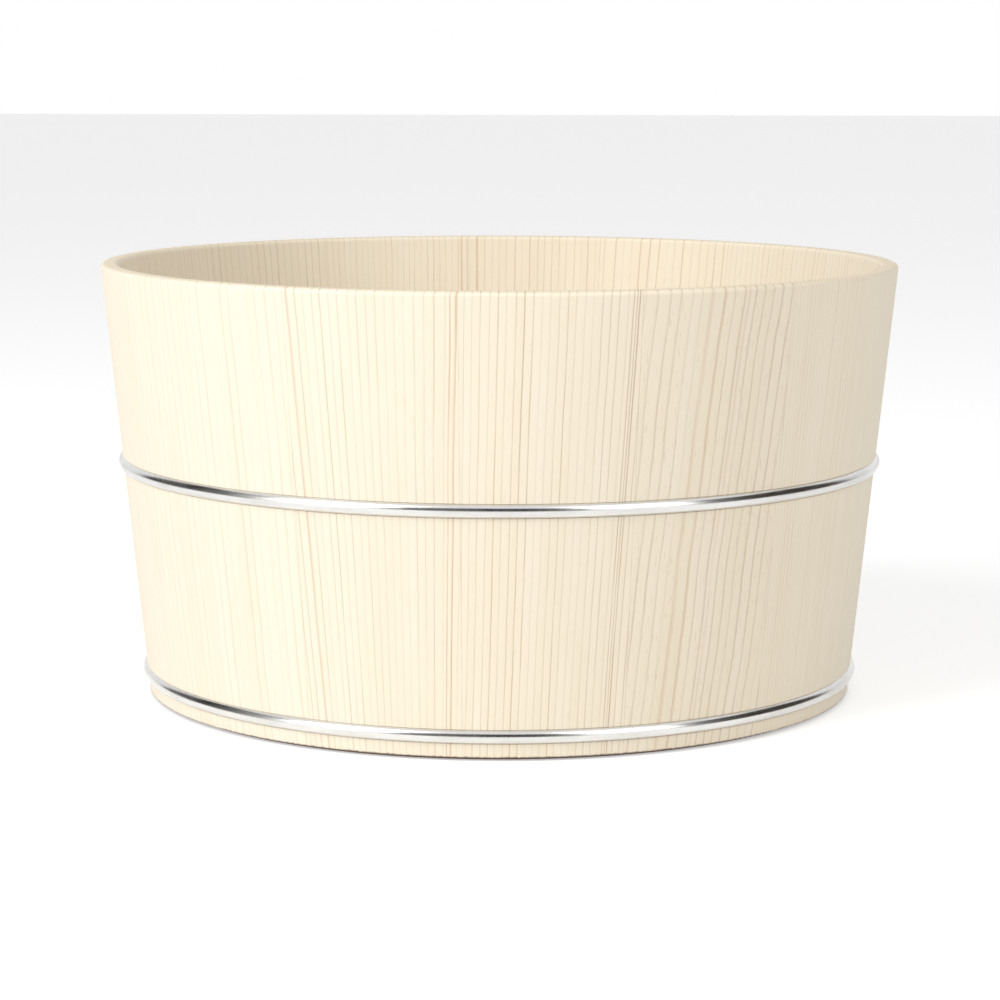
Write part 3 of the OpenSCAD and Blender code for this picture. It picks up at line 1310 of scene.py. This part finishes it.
@dataclass
class Studio:
    """A white studio: floor, even sky light, two softboxes and the dark screens round them."""

    floor_size: float = 14.0
    floor_colour: Colour = (0.78, 0.78, 0.78)
    floor_roughness: float = 0.9
    floor_glow: float = 0.42
    sky_light: float = 0.5
    aim: Vector = field(default_factory=lambda: Vector((0.0, 0.0, 0.06)))
    softboxes: tuple[Softbox, ...] = (
        Softbox("key_softbox", azimuth=-51.0, elevation=30.0, distance=1.5, width=0.8, height=1.2,
                power=16.0),
        Softbox("fill_softbox", azimuth=41.0, elevation=30.0, distance=1.5, width=0.75, height=1.2,
                power=7.0),
    )
    flags: tuple[Flag, ...] = (
        Flag("front_screen", -36.0, 27.0, (0.05, 0.048, 0.045)),
        Flag("left_screen", -130.0, -102.0, (0.02, 0.02, 0.02)),
        Flag("left_grey_screen", -102.0, -70.0, (0.22, 0.22, 0.21)),
        Flag("right_grey_screen", 59.0, 74.0, (0.2, 0.195, 0.19)),
        Flag("right_screen", 74.0, 124.0, (0.05, 0.036, 0.024)),
    )

    def build(self) -> None:
        """Sets the studio up."""
        self.lay_floor()
        self.light_sky()
        for softbox in self.softboxes:
            softbox.place(self.aim)
        for flag in self.flags:
            flag.place()

    def lay_floor(self) -> None:
        """Lays the pale floor, which looks white where no shadow falls on it."""
        half = self.floor_size / 2
        data = bpy.data.meshes.new("studio_floor")
        corners = [(-half, -half, 0.0), (half, -half, 0.0), (half, half, 0.0), (-half, half, 0.0)]
        data.from_pydata(corners, [], [(0, 1, 2, 3)])
        floor = bpy.data.objects.new("studio_floor", data)
        bpy.context.scene.collection.objects.link(floor)
        material, wiring, shader = start_material("white_floor")
        shader.inputs["Base Color"].default_value = (*self.floor_colour, 1.0)
        shader.inputs["Roughness"].default_value = self.floor_roughness
        shader.inputs["Emission Color"].default_value = (1.0, 1.0, 1.0, 1.0)
        glow = wiring.math(Op.MULTIPLY, seen_directly(wiring), self.floor_glow)
        wiring.feed(shader.inputs["Emission Strength"], glow)
        data.materials.append(material)
        LOG.info("studio_floor: %.0f m wide", self.floor_size)

    def light_sky(self) -> None:
        """Makes the world an even sky light that looks white as a background."""
        world = bpy.data.worlds.new("studio_white")
        world.use_nodes = True
        bpy.context.scene.world = world
        wiring = Wiring(world.node_tree)
        background = next(node for node in world.node_tree.nodes if node.type == "BACKGROUND")
        background.inputs["Color"].default_value = (1.0, 1.0, 1.0, 1.0)
        extra = wiring.math(Op.MULTIPLY_ADD, seen_directly(wiring), 1.0 - self.sky_light, self.sky_light)
        wiring.feed(background.inputs["Strength"], extra)
        LOG.info("studio_white: sky light %.2f", self.sky_light)


def seen_directly(wiring: Wiring) -> bpy.types.NodeSocket:
    """Tells the rays that look at a surface from those that only carry its light.

    Args:
        wiring: The wiring of the tree.

    Returns:
        The socket that is 1 for camera, glossy and transmission rays, and 0 for the rest.
    """
    path = wiring.add("ShaderNodeLightPath").outputs
    glossy = wiring.math(Op.MAXIMUM, path["Is Glossy Ray"], path["Is Transmission Ray"])
    return wiring.math(Op.MAXIMUM, path["Is Camera Ray"], glossy)


@dataclass
class PhotographCamera:
    """The camera at the photograph's viewing angle."""

    lens: float = 109.8
    sensor: float = 36.0
    place: Vector = field(default_factory=lambda: Vector((0.0, -0.867, 0.1831)))
    pitch: float = 8.53
    roll: float = 0.12
    shift: float = 0.0008
    near: float = 0.05
    far: float = 50.0

    def set_up(self) -> None:
        """Makes the camera and gives it to the scene."""
        data = bpy.data.cameras.new("photograph_camera")
        data.lens = self.lens
        data.sensor_width = self.sensor
        data.shift_x = self.shift
        data.clip_start = self.near
        data.clip_end = self.far
        camera = bpy.data.objects.new("photograph_camera", data)
        bpy.context.scene.collection.objects.link(camera)
        camera.location = self.place
        tip = Euler((math.radians(90.0 - self.pitch), 0.0, 0.0)).to_matrix()
        turn = Euler((0.0, 0.0, math.radians(self.roll))).to_matrix()
        camera.rotation_euler = (tip @ turn).to_euler()
        bpy.context.scene.camera = camera
        LOG.info("photograph_camera: %.1f mm lens", self.lens)


def main() -> None:
    """Builds the camera, the studio and every sub-assembly in order."""
    logging.basicConfig(level=logging.INFO, format="%(name)s: %(message)s")
    bpy.context.scene.view_settings.view_transform = "Standard"
    PhotographCamera().set_up()
    Studio().build()
    Wall().dress()
    Bottom().dress()
    Pins().dress()
    for node in ("upper_hoop", "lower_hoop"):
        Hoop(node).build()


if __name__ == "__main__":
    main()
